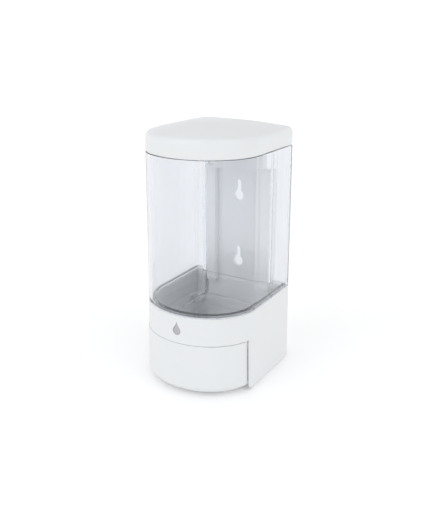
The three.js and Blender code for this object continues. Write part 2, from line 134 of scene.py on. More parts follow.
SMOOTH = 128                    # sides of the body's full ellipse
ROUND = 48                      # sides of a small round piece


def mm(x, y, height):
    return Vector((x * MM, y * MM, FOOT + height * MM))


def plan_scale(height):
    """How far the mould's draft widens or narrows the plan at this height."""
    if height < RIM:
        return FOOT_SCALE + (1 - FOOT_SCALE) * height / RIM
    return 1 + (LID_SCALE - 1) * (height - RIM) / (SEAM - RIM)


# ---------------------------------------------------------------- working on a mesh
def deselect():
    if bpy.context.object and bpy.context.object.mode != "OBJECT":
        bpy.ops.object.mode_set(mode="OBJECT")
    bpy.ops.object.select_all(action="DESELECT")


def activate(piece):
    deselect()
    piece.select_set(True)
    bpy.context.view_layer.objects.active = piece


def edit(piece):
    activate(piece)
    bpy.ops.object.mode_set(mode="EDIT")
    bpy.ops.mesh.select_mode(type="VERT")


def choose_all():
    bpy.ops.mesh.select_all(action="SELECT")


def shift(x=0.0, y=0.0, z=0.0):
    """Moves what is selected, in millimetres."""
    bpy.ops.transform.translate(value=(x * MM, y * MM, z * MM))


def widen(x=1.0, y=1.0, z=1.0, centre=(0, 0, 0)):
    """Scales what is selected about a place."""
    bpy.ops.transform.resize(value=(x, y, z), center_override=centre)


def grow(x=0.0, y=0.0, z=0.0):
    """Extrudes what is selected, and moves it in metres."""
    bpy.ops.mesh.extrude_region_move(TRANSFORM_OT_translate={"value": (x, y, z)})


def split_at(*places):
    """Cuts the mesh across its depth at each y."""
    for y in places:
        choose_all()
        bpy.ops.mesh.bisect(plane_co=mm(0, y, 0), plane_no=(0, 1, 0))


def leave():
    bpy.ops.object.mode_set(mode="OBJECT")


def choose(piece, kind, test):
    """Selects the vertices, or the edges by both ends, whose places pass the test."""
    bpy.ops.mesh.select_mode(type=kind)
    bpy.ops.mesh.select_all(action="DESELECT")
    bm = bmesh.from_edit_mesh(piece.data)
    if kind == "VERT":
        for vertex in bm.verts:
            vertex.select = test(place(vertex.co))
    else:
        for edge in bm.edges:
            edge.select = test(*(place(end.co) for end in edge.verts))
    bm.select_flush_mode()
    bmesh.update_edit_mesh(piece.data)


def place(co):
    """A mesh place in millimetres, with z as a height above the foot."""
    return Vector((co.x, co.y, co.z - FOOT)) / MM


def near(a, b, tolerance=0.02):
    return abs(a - b) < tolerance


def across(side, a, b):
    """A block's two x on one side of the body: -1 is its left, 1 its right."""
    return sorted((side * a, side * b))


def named(name):
    piece = bpy.context.object
    piece.name = name
    piece.data.name = name
    return piece


def settle(piece):
    """Puts the object's place, turn and size into its mesh."""
    activate(piece)
    bpy.ops.object.transform_apply(location=True, rotation=True, scale=True)
    return piece


def outward(piece):
    edit(piece)
    choose_all()
    bpy.ops.mesh.normals_make_consistent(inside=False)
    leave()
    return piece


def modify(piece, kind, **settings):
    activate(piece)
    modifier = piece.modifiers.new(kind.title(), kind)
    for key, value in settings.items():
        setattr(modifier, key, value)
    bpy.ops.object.modifier_apply(modifier=modifier.name)
    return piece


def combine(piece, others, operation):
    for other in others:
        modify(piece, "BOOLEAN", operation=operation, object=other, solver="EXACT")
        bpy.data.objects.remove(other)
    return piece


def cut(piece, *others):
    return combine(piece, others, "DIFFERENCE")


def join(piece, *others):
    return combine(piece, others, "UNION")


def keep(piece, *others):
    return combine(piece, others, "INTERSECT")


def soften(piece, width, test, segments=3):
    """Rounds the edges that pass the test."""
    edit(piece)
    choose(piece, "EDGE", test)
    bpy.ops.mesh.bevel(offset=width * MM, segments=segments, affect="EDGES", clamp_overlap=True)
    leave()
    return piece


def polish(piece, angle=32):
    """Merges doubles and shades the piece smooth, but for edges sharper than the angle."""
    edit(piece)
    choose_all()
    bpy.ops.mesh.remove_doubles(threshold=0.003 * MM)
    leave()
    activate(piece)
    bpy.ops.object.shade_smooth_by_angle(angle=math.radians(angle))
    return modify(piece, "WEIGHTED_NORMAL", mode="FACE_AREA", weight=80, keep_sharp=True)


# ---------------------------------------------------------------- shapes that repeat
def brick(name, x, y, z, rounding=0.0, along="Z", segments=5):
    """A block between two x, two y and two heights; the edges along one axis are rounded."""
    bpy.ops.mesh.primitive_cube_add(size=1)
    piece = named(name)
    low, high = mm(x[0], y[0], z[0]), mm(x[1], y[1], z[1])
    piece.location = (low + high) / 2
    piece.scale = high - low
    settle(piece)
    if rounding:
        axis = "XYZ".index(along)
        soften(piece, rounding, lambda a, b: abs(a[axis] - b[axis]) > 0.01, segments)
    return piece


def bar(name, radius, centre, length, along="Z", sides=ROUND, rounding=0.0):
    """A round bar about its centre; its two rims are rounded."""
    turn = {"X": (0, math.pi / 2, 0), "Y": (math.pi / 2, 0, 0), "Z": (0, 0, 0)}[along]
    bpy.ops.mesh.primitive_cylinder_add(vertices=sides, radius=radius * MM, depth=length * MM,
                                        location=mm(*centre), rotation=turn)
    piece = settle(named(name))
    if rounding:
        axis = "XYZ".index(along)
        soften(piece, rounding, lambda a, b: near(a[axis], b[axis]))
    return piece


def turned(name, profile, x=0.0, y=None, sides=ROUND):
    """A round piece about an upright axis, spun from a profile of (radius, height) pairs."""
    y = PUMP_Y if y is None else y
    bpy.ops.mesh.primitive_plane_add(size=0.001, location=(0, 0, 0))
    piece = named(name)
    edit(piece)
    choose_all()
    bpy.ops.mesh.merge(type="CENTER")
    radius, height = profile[0]
    bpy.ops.transform.translate(value=mm(x + radius, y, height))
    on_axis = profile[0][0] == 0 and profile[-1][0] == 0
    for here, there in zip(profile, profile[1:] + ([] if on_axis else profile[:1])):
        grow((there[0] - here[0]) * MM, 0, (there[1] - here[1]) * MM)
    choose_all()
    bpy.ops.mesh.spin(steps=sides, angle=2 * math.pi, center=mm(x, y, 0), axis=(0, 0, 1))
    choose_all()
    bpy.ops.mesh.remove_doubles(threshold=0.003 * MM)
    bpy.ops.mesh.dissolve_degenerate(threshold=0.002 * MM)
    leave()
    return outward(piece)


def copy(piece, name, spot, turn=0.0):
    """A copy of a piece made at the foot's middle, tipped forwards and put in its own place."""
    activate(piece)
    bpy.ops.object.duplicate()
    twin = named(name)
    twin.location.z = -FOOT
    settle(twin)
    twin.rotation_euler.x = turn
    twin.location = mm(*spot)
    return settle(twin)


def stack(name, *stations, corner=CORNER):
    """A solid grown upwards from one outline of the body's plan to the next. A station is (height,
    inset), or (height, inset, rear inset) where the rear face keeps another distance."""
    outlines = [outline(*station) for station in stations]
    first = outlines[0]
    bpy.ops.mesh.primitive_circle_add(vertices=SMOOTH, radius=first["half"])
    piece = named(name)
    edit(piece)
    choose(piece, "VERT", lambda co: co.y > 0.001)
    bpy.ops.mesh.delete(type="VERT")
    choose_all()
    widen(y=(first["straight"] - first["front"]) / first["half"])
    bpy.ops.transform.translate(value=(0, first["straight"], first["z"]))
    choose(piece, "VERT", lambda co: co.y > first["straight"] / MM - 0.001)
    grow(y=first["rear"] - first["straight"])
    choose_all()
    bpy.ops.mesh.edge_face_add()
    choose(piece, "VERT", lambda co: near(co.y, first["rear"] / MM))
    bpy.ops.mesh.bevel(affect="VERTICES", offset=corner * MM, segments=6)
    bpy.ops.mesh.select_mode(type="FACE")
    choose_all()
    for before, after in zip(outlines, outlines[1:]):
        grow(z=after["z"] - before["z"])
        deep = (after["rear"] - after["front"]) / (before["rear"] - before["front"])
        widen(after["half"] / before["half"], deep, centre=(0, before["front"], after["z"]))
        bpy.ops.transform.translate(value=(0, after["front"] - before["front"], 0))
    leave()
    return outward(piece)


def outline(height, inset=0.0, rear=None):
    """The body's plan at a height, in metres: straight sides and half an ellipse for the front."""
    scale = plan_scale(height) * MM
    rear = inset if rear is None else rear
    return {"z": FOOT + height * MM, "half": (HALF - inset) * scale, "straight": STRAIGHT * scale,
            "front": (FRONT + inset) * scale, "rear": -rear * scale}


def foot_round(foot, radius, inset=0.0, turns=8):
    """Stations of a quarter round that turns inwards at a foot."""
    angles = [turn / turns * math.pi / 2 for turn in range(turns + 1)]
    return [(foot + radius * (1 - math.cos(a)), inset + radius * (1 - math.sin(a))) for a in angles]


# ---------------------------------------------------------------- tank
def channel(half, deep, low, high, rounding):
    """The cutter for the upright channel in the rear face that takes the plate's rails."""
    return brick("channel", (-half, half), (-deep, 9), (low, high), rounding)


def make_tank():
    soft = 0.35
    outer = stack("tank", (RIM, soft), (RIM + 0.1, 0.1), (RIM + soft, 0),
                  (SEAM - GAP - soft, 0), (SEAM - GAP - 0.1, 0.1), (SEAM - GAP, soft))
    cut(outer, channel(CHANNEL, CHANNEL_DEEP, RIM - 1, SEAM + 1, 0.8))
    under = SUMP_FLOOR - TANK_WALL
    sump = stack("sump", (under, SUMP_STEP + 1.5), (under + 0.4, SUMP_STEP + 0.6),
                 (under + 1.5, SUMP_STEP), (RIM + 1, SUMP_STEP), corner=1.6)
    nook, nook_deep = CHANNEL + NOOK, CHANNEL_DEEP + NOOK_DEEP
    cut(sump, channel(nook, nook_deep, RIM - 40, RIM + 2, 0.8))
    well = brick("well", (-WELL_HALF - TANK_WALL, WELL_HALF + TANK_WALL),
                 (WELL_FRONT - TANK_WALL, WELL_BACK + TANK_WALL),
                 (WELL_FLOOR - TANK_WALL, SUMP_FLOOR - 1), 4)
    collar = turned("collar", [(9, 34.3), (12.2, 34.3), (12.5, 34.6), (12.5, 41), (9, 41)])
    join(outer, sump, well, collar)
    inner = stack("inner", (RIM + 2.5, TANK_WALL), (SEAM + 1, TANK_WALL))
    cut(inner, channel(CHANNEL + TANK_WALL, CHANNEL_DEEP + TANK_WALL, RIM, SEAM + 2, 1.2))
    inset = SUMP_STEP + TANK_WALL
    basin = stack("basin", (SUMP_FLOOR, inset), (RIM + 3, inset), corner=0.6)
    cut(basin, channel(nook + TANK_WALL, nook_deep + TANK_WALL, RIM - 40, RIM + 4, 1.2))
    sink = brick("sink", (-WELL_HALF, WELL_HALF), (WELL_FRONT, WELL_BACK),
                 (WELL_FLOOR, SUMP_FLOOR + 1), 3)
    join(inner, basin, sink, bar("bore", 9.9, (0, PUMP_Y, 37), 14))
    return polish(cut(outer, inner), 30)


# ---------------------------------------------------------------- lid
def lid_stations(inset, down, foot):
    """Upright side, soft shoulder and low crown; inset and down make the inner face."""
    rear = inset + 0.4
    edge = LID_EDGE - down
    stations = [(foot, inset, rear), (edge - 6.2, inset, rear)]
    for drop, into in ((4.4, 0.12), (2.9, 0.45), (1.6, 1.0), (0.6, 1.8), (0, 2.55)):
        stations.append((edge - drop, inset + into, rear + into))
    reach = STRAIGHT - FRONT - 3.6 - inset
    parts = (0.06, 0.14, 0.24, 0.36, 0.5, 0.64, 0.78, 0.94)
    full = 1.7                  # how full the crown is: 1 is a plain hip
    crown = (lid_high.z - LID_EDGE) / (1 - (1 - parts[-1]) ** full)
    for part in parts:
        stations.append((edge + crown * (1 - (1 - part) ** full), inset + 2.1 + reach * part))
    return stations


def ease_crown(piece, edge):
    """Rounds off the hips that the plan's corners leave in the crown; its middle stays."""
    edit(piece)
    choose(piece, "VERT", lambda co: edge + 0.2 < co.z < edge + 7.5)
    bpy.ops.mesh.vertices_smooth(factor=0.5, repeat=14)
    leave()
    return piece


def make_lid():
    foot = lid_low.z
    soft = 0.3
    lid = stack("lid", (foot, soft, soft + 0.4), (foot + soft, 0, 0.4),
                *lid_stations(0, 0, foot)[1:])
    hollow = stack("hollow", *lid_stations(WALL, WALL, foot - 2))
    cut(ease_crown(lid, LID_EDGE), ease_crown(hollow, LID_EDGE - WALL))
    cut(lid, brick("notch", (-24, 24), (-5, 9), (foot - 1, HINGE_Z + 1.2), 1, "Y"))
    relief = brick("relief", (-PAST, PAST), (-6.6, 9), (foot - 4, foot))
    edit(relief)
    choose(relief, "VERT", lambda co: co.y > 0 and co.z > foot - 1)
    shift(z=4.4)
    leave()
    cut(lid, relief)
    for side in (-1, 1):
        ear = join(brick("ear", across(side, 14.2, 18), (HINGE_Y - 2.7, HINGE_Y + 2.7),
                         (HINGE_Z, HINGE_Z + 4.6)),
                   bar("ear_eye", 2.7, (side * 16.1, HINGE_Y, HINGE_Z), 3.8, "X"))
        join(lid, keep(ear, stack("room", *lid_stations(WALL / 2, WALL / 2, foot - 8))))
    cut(lid, bar("barrel_room", 3.1, (0, HINGE_Y, HINGE_Z), 28.2, "X"),
        bar("pin_hole", PIN_HOLE, (0, HINGE_Y, HINGE_Z), 50, "X"))
    return polish(lid, 30)


# ---------------------------------------------------------------- base
def tapered(piece):
    """Gives a cutter the body's draft across its width, from the foot to the rim."""
    edit(piece)
    heights = sorted({round(place(v.co).z, 3) for v in bmesh.from_edit_mesh(piece.data).verts})
    for height in heights:
        choose(piece, "VERT", lambda co: near(co.z, height))
        widen(plan_scale(height))
    leave()
    return piece


def drop_outline(larger):
    """The drop's outline, from its tip round and back, as (x, height) pairs."""
    radius = (drop_high.x - drop_low.x) / 2 + larger
    low = drop_low.z + radius - larger
    tip = drop_high.z + 2 * larger
    start = math.radians(32)
    points = [(0, tip)]
    reach = tip - low - radius * math.sin(start)
    for step in (0.2, 0.4, 0.6, 0.8):
        points.append((radius * math.cos(start) * (step ** 1.35), tip - reach * step))
    for step in range(19):
        angle = start - step / 18 * (math.pi + 2 * start)
        points.append((radius * math.cos(angle), low + radius * math.sin(angle)))
    return points + [(-x, z) for x, z in reversed(points[1:5])]


def drop_prism(name, larger, y0, y1):
    points = drop_outline(larger)
    bpy.ops.mesh.primitive_circle_add(vertices=len(points), radius=MM, fill_type="NGON")
    piece = named(name)
    edit(piece)
    bm = bmesh.from_edit_mesh(piece.data)
    loop = bm.faces[:][0].verts[:]
    for vertex, (x, z) in zip(loop, points):
        vertex.co = mm(x, y0, z)
    bmesh.update_edit_mesh(piece.data)
    choose_all()
    grow(y=(y1 - y0) * MM)
    leave()
    return outward(piece)


def rounded_corner(radius, y, out, foot):
    """The cutter that rounds the side walls' lower corner at a y; out points off the wall."""
    block = brick("corner", (-PAST, PAST), sorted((y + out, y - out * radius)),
                  (-1, foot + radius))
    return cut(block, bar("corner_round", radius + 0.05, (0, y - out * radius, foot + radius), 130,
                          "X"))


def make_base():
    lift = 1.2                  # the side walls end this far above the strips under them
    top = RIM - GAP
    base = stack("base_shell", *foot_round(lift, 1.7), (top - 0.35, 0), (top - 0.1, 0.1),
                 (top, 0.35))
    room = tapered(brick("room", (-INNER_HALF, INNER_HALF), (-117, 4), (-1, PANEL_TOP + 0.02)))
    keep(room, stack("room_round", (-1, 0.6, -6), (PANEL_TOP + 2, 0.6, -3)))
    cut(base, room, stack("upper_room", (PANEL_TOP - 1, WALL, -3), (RIM + 1, WALL, -3)),
        brick("mouth", (-PAST, PAST), (-117, PANEL_SIDE), (-1, PANEL_TOP)),
        rounded_corner(5, PANEL_SIDE, -1, lift), rounded_corner(6, 0, 1, lift))
    for x, y in COVER_SCREWS:
        side = math.copysign(1, x)
        post = join(bar("boss", 3.6, (x, y, 12.25), 15.5, rounding=0.3),
                    brick("web", across(side, 37, RIB_END), (y - 0.8, y + 0.8), (4.9, 19.6)))
        join(base, cut(post, bar("pilot", PILOT, (x, y, 10), 12)))
    for x, z in PLATE_SCREWS:
        side = math.copysign(1, x)
        post = join(bar("boss", 3.4, (x, -9.15, z), 11.7, "Y"),
                    brick("web", across(side, 42, RIB_END), (-14.8, -3.5), (z - 0.8, z + 0.8)))
        join(base, cut(post, bar("pilot", PILOT, (x, -8, z), 10, "Y")))
    for side in (-1, 1):
        guide = brick("guide", across(side, 40, RIB_END), (-66.5, -36), (25.6, 34.4))
        for inside, y in ((30, (-70, -50)), (41.6, (-50, -47.6)), (30, (-47.6, -30))):
            cut(guide, brick("guide_slot", across(side, inside, PAST), y, (27.6, 32.4)))
        join(base, guide)
        join(base, brick("foot_strip", across(side, 46.2, 49.3), (-68, -7), (0, 1.8), 0.4, "Y"))
    cut(base, drop_prism("drop_pocket", 0.25, -112, FRONT + 0.9))
    return polish(base, 30)


def make_cover():
    low, high = cover_low.z, cover_high.z
    inset = WALL + 1.2
    cover = stack("bottom_cover", (low, inset + 0.4, 3.7), (low + 0.4, inset, 3.3),
                  (high, inset, 3.3))
    plan = join(brick("cover_plan", (-PAST, PAST), (-64, 1), (1, 5)),
                brick("cover_tongue", (-28, 28), (-76, -60), (1, 5), 3))
    half = INNER_HALF - GAP
    keep(cover, plan, brick("cover_width", (-half, half), (-120, 1), (1, 5)))
    cut(cover, bar("nozzle_hole", 7, (0, PUMP_Y, 3), 6))
    for x, y in COVER_SCREWS:
        cut(cover, bar("screw_hole", SCREW_HOLE, (x, y, 3), 6))
    return polish(cover)


# ---------------------------------------------------------------- push panel
def make_panel():
    top = panel_high.z
    panel = stack("push_panel", *foot_round(PANEL_FOOT, PANEL_FILLET, turns=12),
                  (top - 0.35, 0), (top - 0.1, 0.1), (top, 0.35))
    cut(panel, stack("panel_inside", *foot_round(PANEL_FOOT + WALL, PANEL_FILLET - WALL, WALL),
                     (top - WALL, WALL)))
    cut(panel, stack("panel_opening", (top - WALL - 1, 4.5), (top + 1, 4.5)))
    floor = brick("floor_cut", (-PAST, PAST), (-86, 1), (-1, 12))
    cut(panel, keep(floor, stack("floor_round", (-1, PANEL_FILLET + WALL, -1), (12, WALL, -1))))
    keep(panel, brick("panel_front", (-PAST, PAST), (-117, PANEL_SIDE - 0.4), (-1, PANEL_TOP + 2)),
         side_room())
    for x in PANEL_BOSSES:
        boss = bar("boss", 4, (x, -105, PANEL_BOSS_RISE), 14, "Y")
        join(panel, keep(boss, stack("boss_room", *foot_round(PANEL_FOOT + 0.5, PANEL_FILLET, 0.5),
                                     (top, 0.5))))
        cut(panel, bar("pilot", PILOT, (x, -101, PANEL_BOSS_RISE), 8, "Y"))
    for side in (-1, 1):
        arm = join(brick("rail", across(side, 42, 45.5), (-84, -45.2), (28, 32), 0.5, "Y"),
                   brick("barb", across(side, 40.2, 43), (-47.2, -45.2), (28, 32)))
        join(panel, cut(arm, brick("rail_nose", across(side, 44.8, PAST), (-90, -78.5), (20, 40))))
    return polish(panel, 30)


def side_room():
    """The room that the panel needs between the base's side walls as it is pressed."""
    edge = INNER_HALF - 0.45
    room = brick("side_room", (-edge, edge), (-130, 4 - PANEL_SIDE), (-1, PANEL_TOP + 2))
    edit(room)
    split_at(PANEL_SIDE - 2, PANEL_SIDE - 9, PANEL_SIDE - 11)
    choose(room, "VERT", lambda co: near(co.y, PANEL_SIDE - 9))
    widen((edge + 1) / edge)
    choose(room, "VERT", lambda co: co.y < PANEL_SIDE - 10)
    widen(PAST / edge)
    leave()
    return tapered(room)


# ---------------------------------------------------------------- wall plate
def make_plate():
    foot, hollow = RIM - 6, RAIL_WALL - RAIL_DEEP
    plate = brick("wall_plate", (-47.4, 47.4), (-3, 0), (3, RIM - GAP), 2, "Y")
    join(plate, brick("plate_panel", (-RAIL_IN - 1, RAIL_IN + 1), (-3.2, 0), (foot, RAIL_TOP)))
    for side in (-1, 1):
        rail = brick("rail", across(side, RAIL_IN, RAIL_OUT), (-RAIL_DEEP, 0), (foot, RAIL_TOP),
                     0.8)
        soften(rail, 0.8, lambda a, b: max(a.y, b.y) < -8 and min(a.z, b.z) > RAIL_TOP - 5)
        cut(rail, brick("rail_hollow", across(side, RAIL_IN + RAIL_WALL, RAIL_OUT - RAIL_WALL),
                        (hollow, 9), (foot + RAIL_WALL, RAIL_TOP - RAIL_WALL)))
        join(plate, rail)
    head = brick("head", (-24, 24), (-RAIL_DEEP, 0), (RAIL_TOP - 2, SEAM - 1), 1)
    cut(head, brick("head_hollow", (-21.8, 21.8), (hollow, 9), (RAIL_TOP + 2.2, SEAM - 3.2)))
    join(plate, head, bar("barrel", BARREL, (0, HINGE_Y, HINGE_Z), 27.6, "X"),
         brick("barrel_web", (-13.8, 13.8), (HINGE_Y - BARREL, HINGE_Y + 0.8), (SEAM - 3, HINGE_Z)))
    for height in KEYHOLES:
        cut(plate, join(bar("head_hole", KEY_HEAD, (0, -1, height), 8, "Y", 64),
                        brick("slot", (-KEY_SLOT, KEY_SLOT), (-5, 3), (height, height + KEY_RISE)),
                        bar("slot_end", KEY_SLOT, (0, -1, height + KEY_RISE), 8, "Y")))
    cut(plate, bar("pin_hole", PIN_HOLE, (0, HINGE_Y, HINGE_Z), 50, "X"))
    for x, z in PLATE_SCREWS:
        cut(plate, bar("screw_seat", 3.4, (x, -0.35, z), 2.7, "Y"),
            bar("screw_hole", SCREW_HOLE, (x, -1.5, z), 5, "Y"))
    return polish(plate, 30)


# ---------------------------------------------------------------- pump and small pieces
def make_spring():
    """A closed-end helix, swept round the pump's axis."""
    wire, radius = 0.5, 5.6
    low, high = spring_low.z + wire, spring_high.z - wire
    turns, per_turn = 6.5, 40
    steps = round(turns * per_turn)
    bpy.ops.mesh.primitive_circle_add(vertices=12, radius=wire * MM, fill_type="NGON",
                                      location=mm(radius, PUMP_Y, low),
                                      rotation=(math.pi / 2, 0, 0))
    spring = settle(named("return_spring"))
    edit(spring)
    choose_all()
    turn = 2 * math.pi / per_turn
    centre = mm(0, PUMP_Y, low)
    for step in range(steps):
        grow()
        bpy.ops.transform.rotate(value=-turn, orient_axis="Z", center_override=centre)
        shift(z=(high - low) / steps)
    leave()
    return polish(outward(spring), 60)


def ring_of(count, radius, height):
    """Places in a ring round the pump's axis."""
    for step in range(count):
        angle = step * 2 * math.pi / count
        yield radius * math.cos(angle), PUMP_Y + radius * math.sin(angle), height


def make_nut():
    nut = turned("pump_nut", [(9.9, 28.6), (14.9, 28.6), (15.5, 29.2), (15.5, 38.6), (14.9, 39.2),
                              (12.8, 39.2), (12.8, 30.5), (9.9, 30.5)], sides=72)
    for spot in ring_of(12, 16, 34):
        cut(nut, bar("groove", 1, spot, 12, sides=20))
    return polish(nut)


def make_cylinder():
    cylinder = turned("pump_cylinder", [
        (8, 24.5), (9.4, 24.5), (9.6, 24.7), (9.6, 30.8), (12.1, 30.8), (12.3, 31), (12.3, 32.1),
        (12.1, 32.3), (9.6, 32.3), (9.6, 45.2), (9.4, 45.7), (8.9, 46), (0, 46), (0, 43.8),
        (8, 43.8)])
    for spot in ring_of(6, 3.4, 45):
        cut(cylinder, bar("inlet", 1.1, spot, 4, sides=24))
    cut(cylinder, bar("flap_hole", 1, (0, PUMP_Y, 45), 4, sides=24))
    return polish(cylinder)


def make_yoke():
    """The ring round the plunger whose two sloping lugs ride on the fork's ramps."""
    lugs = brick("lift_yoke", (-10.5, 10.5), (PUMP_Y - 2.2, PUMP_Y + 2.2), (8.4, 12.4))
    edit(lugs)
    for side in (-1, 1):
        choose(lugs, "VERT", lambda co: co.z < 9 and (co.y - PUMP_Y) * side > 0)
        shift(z=-2.2 * side)
    leave()
    soften(lugs, 0.3, lambda a, b: near(a.x, b.x))
    join(lugs, bar("ring", 5.1, (0, PUMP_Y, 9.9), 5, rounding=0.3))
    return polish(cut(lugs, bar("stem_hole", 3.8, (0, PUMP_Y, 8.7), 10)))


def make_fork():
    """A plate on the panel's bosses with two arms that end in ramps."""
    face = -97.7
    fork = brick("lift_fork", (-21, 21), (face, face + 2.5), (7, 23), 1.5, "Y")
    for x in PANEL_BOSSES:
        cut(fork, bar("screw_hole", SCREW_HOLE, (x, face + 1, PANEL_BOSS_RISE), 5, "Y", 24))
    low, high = 4.8, 8
    reach, end = 11, 2.4        # the ramp runs from before the pump's axis to behind it
    surface = 8.4 - 0.3 * math.sqrt(2)
    for side in (-1, 1):
        arm = brick("arm", across(side, 5.5, 9.5), (face + 0.3, PUMP_Y + end), (low, high))
        edit(arm)
        split_at(-85, -83.4, PUMP_Y - reach)
        choose(arm, "VERT", lambda co: co.z < low + 0.2 and co.y < -84)
        shift(z=1.6)
        choose(arm, "VERT", lambda co: co.z > high - 1 and co.y < PUMP_Y)
        shift(z=surface + reach - high)
        choose(arm, "VERT", lambda co: co.z > high - 1 and co.y > PUMP_Y)
        shift(z=surface - end - high)
        leave()
        soften(arm, 0.3, lambda a, b: not near(a.y, b.y) and abs(a.x - b.x) < 0.01
               and min(a.z, b.z) > 5)
        join(fork, arm)
    return polish(fork)


def make_screw(name, head, length):
    """A pan head screw, point up, with its head's face at height 0."""
    screw = turned(name, [(0, 0), (1.9, 0), (2.5, 0.18), (2.8, 0.6), (2.8, head), (1.3, head),
                          (1.3, length - 0.6), (0.7, length), (0, length)], 0, 0, 32)
    cut(screw, brick("slot", (-0.5, 0.5), (-1.7, 1.7), (-1, 0.7)))
    return polish(cut(screw, brick("slot", (-1.7, 1.7), (-0.5, 0.5), (-1, 0.7))))


ROUND_PIECES = {
    "cylinder_cap": [(4.1, 22.3), (9.3, 22.3), (9.6, 22.6), (9.6, 24.2), (4.1, 24.2)],
    "pump_gasket": [(9.9, 32.6), (12.3, 32.6), (12.4, 32.7), (12.4, 33.6), (12.3, 33.7),
                    (9.9, 33.7)],
    "inlet_flap": [(0, 42.6), (4.7, 42.9), (4.9, 43.1), (4.9, 43.5), (0.7, 43.5), (0.7, 46.3),
                   (1.4, 46.6), (1.1, 47.2), (0, 47.6)],
    "plunger": [(1.5, 3.4), (3.3, 3.4), (3.5, 3.6), (3.5, 12.7), (4.8, 12.7), (5, 12.9), (5, 13.7),
                (4.8, 13.9), (3.5, 13.9), (3.5, 24.6), (6.2, 24.6), (6.2, 27), (6, 27.2),
                (1.5, 27.2)],
    "piston_seal": [(6.5, 24.7), (7.5, 24.7), (7.7, 26.2), (7.7, 27), (7.6, 27.1), (6.5, 27.1)],
    "nozzle_tip": [(0.8, 1.6), (2.4, 1.6), (2.8, 1.75), (4.45, 3.4), (4.6, 3.75), (4.6, 5.7),
                   (4.4, 5.9), (3.8, 5.9), (3.8, 3.1), (0.8, 3.1)],
}


# ---------------------------------------------------------------- finishes
class Wire:
    """A shader socket that can be used in arithmetic; each operation adds one Math node."""

    def __init__(self, finish, socket):
        self.finish = finish
        self.socket = socket

    def math(self, operation, first, second):
        return self.finish.node("ShaderNodeMath", {"operation": operation}, {0: first, 1: second})

    def __add__(self, other):
        return self.math("ADD", self, other)

    def __mul__(self, other):
        return self.math("MULTIPLY", self, other)

    __radd__ = __add__
    __rmul__ = __mul__


class Finish:
    """One material: its Principled shader, and the nodes that vary it over the piece."""

    def __init__(self, name, **constants):
        self.material = bpy.data.materials.new(name)
        self.material.use_nodes = True
        self.tree = self.material.node_tree
        self.shader = self.tree.nodes["Principled BSDF"]
        self.output = self.tree.nodes["Material Output"]
        self.place = self.node("ShaderNodeTexCoord", {}, {}, "Object")
        for name, value in constants.items():
            label = name.replace("_", " ").title().replace("Ior", "IOR")
            self.shader.inputs[label].default_value = value

    def node(self, kind, settings, sockets, output=0):
        made = self.tree.nodes.new(kind)
        for key, value in settings.items():
            setattr(made, key, value)
        for key, value in sockets.items():
            self.link(made.inputs[key], value)
        return Wire(self, made.outputs[output])

    def link(self, socket, value):
        if isinstance(value, Wire):
            self.tree.links.new(value.socket, socket)
        else:
            socket.default_value = value

    def noise(self, size, detail=2.0, rough=0.5, stretch=(1, 1, 1)):
        """Even noise from 0 to 1 whose features are about this many millimetres across."""
        place = self.node("ShaderNodeMapping", {}, {"Vector": self.place, "Scale": stretch})
        return self.node("ShaderNodeTexNoise", {}, {
            "Vector": place, "Scale": 1 / (size * MM), "Detail": detail, "Roughness": rough})

    def colour(self, low, high, amount):
        mixed = self.node("ShaderNodeMix", {"data_type": "RGBA"},
                          {"Factor": amount, "A": (*low, 1), "B": (*high, 1)}, "Result")
        self.link(self.shader.inputs["Base Color"], mixed)

    def roughness(self, value):
        self.link(self.shader.inputs["Roughness"], value)

    def relief(self, height, depth):
        """Bump of the given depth in millimetres, for a height from 0 to 1."""
        bump = self.node("ShaderNodeBump", {}, {"Height": height, "Distance": depth * MM,
                                                "Strength": 1.0})
        self.link(self.shader.inputs["Normal"], bump)


def shell_finish(name, low, high, gloss):
    """Satin moulded plastic: faint flow in its colour and gloss, and a fine even mould grain."""
    finish = Finish(name, IOR=1.5)
    flow = finish.noise(34, 3)
    cloud = finish.noise(6, 2)
    finish.colour(low, high, flow * 0.7 + cloud * 0.3)
    finish.roughness(gloss + flow * 0.08 + cloud * 0.05)
    finish.relief(finish.noise(0.55, 2, 0.6) * 0.7 + finish.noise(9, 1) * 0.3, 0.012)
    return finish.material


def clear_finish():
    """Clear styrene: very smooth, with slow waves from the mould and a faint cool tint. Light from
    the lamps passes straight through it, so that what is inside is lit."""
    finish = Finish("clear_plastic", IOR=1.46, Transmission_Weight=1.0)
    waves = finish.noise(42, 1)
    finish.colour((0.875, 0.888, 0.91), (0.91, 0.921, 0.94), waves)
    finish.roughness(0.012 + finish.noise(14, 2) * 0.015)
    finish.relief(waves, 0.03)
    rays = finish.tree.nodes.new("ShaderNodeLightPath")
    lamp_ray = Wire(finish, rays.outputs["Is Shadow Ray"])
    soft_ray = Wire(finish, rays.outputs["Is Diffuse Ray"])
    through = finish.node("ShaderNodeBsdfTransparent", {}, {"Color": (1, 1, 1, 1)})
    surface = finish.node("ShaderNodeMixShader", {}, {
        0: lamp_ray.math("MAXIMUM", lamp_ray, soft_ray),
        1: Wire(finish, finish.shader.outputs["BSDF"]), 2: through})
    finish.link(finish.output.inputs["Surface"], surface)
    tint = finish.node("ShaderNodeVolumeAbsorption", {}, {"Color": (0.82, 0.84, 0.88, 1),
                                                         "Density": 14.0})
    finish.link(finish.output.inputs["Volume"], tint)
    return finish.material


def natural_finish():
    """Uncoloured moulded plastic, a little milky."""
    finish = Finish("natural_plastic", IOR=1.49, Subsurface_Weight=0.25, Subsurface_Scale=0.002)
    cloud = finish.noise(5, 3)
    finish.colour((0.72, 0.75, 0.76), (0.80, 0.82, 0.82), cloud)
    finish.roughness(0.34 + cloud * 0.14)
    finish.relief(finish.noise(0.8, 2), 0.01)
    return finish.material


